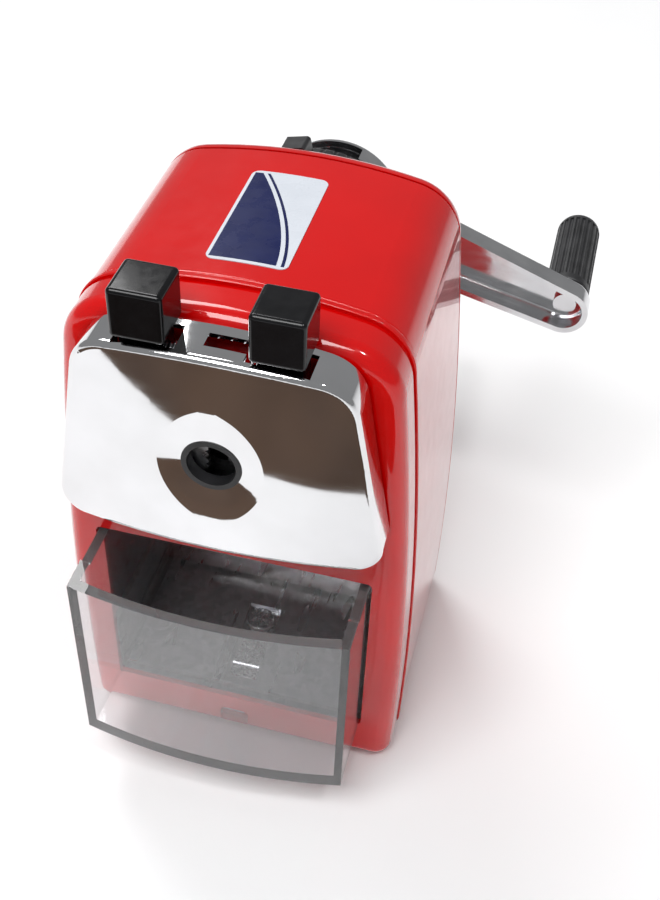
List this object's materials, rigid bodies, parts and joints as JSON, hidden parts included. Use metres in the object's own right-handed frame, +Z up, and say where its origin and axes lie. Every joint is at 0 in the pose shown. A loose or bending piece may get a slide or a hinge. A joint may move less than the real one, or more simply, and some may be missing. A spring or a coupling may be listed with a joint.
{
  "type": "pencil sharpener",
  "caption": "Crank-driven desk pencil sharpener with a sprung auto-feed face, squeeze tabs, helical cutter and clear pull-out shavings drawer.",
  "frame": {"origin": "centre of the base, on the face of the rubber mat that rests on the desk", "axes": "+X to the right seen from the front, +Y to the rear where the crank is, +Z up; the pencil, cutter and crank share an axis along Y"},
  "size_m": [0.0965, 0.1322, 0.128],
  "materials": {
    "red_enamel": "bright gloss enamel",
    "chrome": "polished chrome plate",
    "plated_steel": "bright nickel plate",
    "zinc_steel": "zinc plated sheet",
    "spring_steel": "drawn wire",
    "tool_steel": "hardened and ground",
    "cast_zinc": "die cast",
    "black_gloss": "gloss moulded",
    "black_plastic": "satin moulded",
    "black_grip": "satin moulded, ribbed",
    "white_acetal": "moulded acetal",
    "clear_plastic": "clear moulded styrene",
    "rubber": "matt",
    "label_film": "printed film"
  },
  "bodies": {
    "housing": {"front_casing": "red_enamel", "main_shell": "red_enamel", "rear_cover": "red_enamel", "case_screws": "plated_steel", "base_plate": "zinc_steel", "rubber_mat": "rubber", "drawer_shelf": "zinc_steel", "drawer_catch": "spring_steel", "bearing_frame": "zinc_steel", "frame_posts": "zinc_steel", "front_bush": "black_plastic", "rod_bushes": "white_acetal", "ring_gear": "black_plastic", "cutter_holder": "black_plastic", "top_label": "label_film"},
    "crank": {"cutter_carrier": "cast_zinc", "cutter_spindle": "tool_steel", "main_shaft": "plated_steel", "crank_collar": "black_plastic", "crank_arm": "plated_steel", "crank_nut": "plated_steel", "knob_pin": "plated_steel"},
    "cutter": {"helical_cutter": "tool_steel", "cutter_pinion": "tool_steel"},
    "knob": {"crank_knob": "black_grip"},
    "face": {"face_plate": "chrome", "pencil_guide": "black_plastic", "face_backing": "zinc_steel", "guide_rods": "plated_steel", "rod_clips": "spring_steel", "feed_springs": "spring_steel", "jaw_pivots": "plated_steel", "jaw_spring": "spring_steel"},
    "tab_left": {"jaw_lever_left": "zinc_steel", "tab_cap_left": "black_gloss"},
    "tab_right": {"jaw_lever_right": "zinc_steel", "tab_cap_right": "black_gloss"},
    "drawer": {"drawer": "clear_plastic"}
  },
  "joints": [
    {"name": "crank_turn", "type": "hinge", "parent": "housing", "child": "crank", "pos_m": [0, 0, 0.0931], "axis": [0, 1, 0], "continuous": true},
    {"name": "cutter_spin", "type": "hinge", "parent": "crank", "child": "cutter", "pos_m": [0, 0.005, 0.09965], "axis": [0, 0.9842, -0.1771], "continuous": true},
    {"name": "knob_spin", "type": "hinge", "parent": "crank", "child": "knob", "pos_m": [0.0545, 0.06, 0.076], "axis": [0, 1, 0], "continuous": true},
    {"name": "face_slide", "type": "slide", "parent": "housing", "child": "face", "axis": [0, -1, 0], "range_m": [0, 0.04], "stiffness_N_per_m": 40, "springref_m": -0.02, "deforming": ["feed_springs"]},
    {"name": "left_tab_squeeze", "type": "hinge", "parent": "face", "child": "tab_left", "pos_m": [-0.0095, -0.0358, 0.1075], "axis": [0, 1, 0], "range_deg": [0, 11], "stiffness_Nm_per_rad": 0.25, "springref_deg": -14.32, "deforming": ["jaw_spring"]},
    {"name": "right_tab_squeeze", "type": "hinge", "parent": "face", "child": "tab_right", "pos_m": [0.0095, -0.0342, 0.1075], "axis": [0, -1, 0], "range_deg": [0, 11], "stiffness_Nm_per_rad": 0.25, "springref_deg": -14.32},
    {"name": "drawer_slide", "type": "slide", "parent": "housing", "child": "drawer", "axis": [0, -1, 0], "range_m": [-0.0162, 0.03]}
  ],
  "couplings": [
    {"joint": "cutter_spin", "follows": "crank_turn", "ratio": -2}
  ]
}
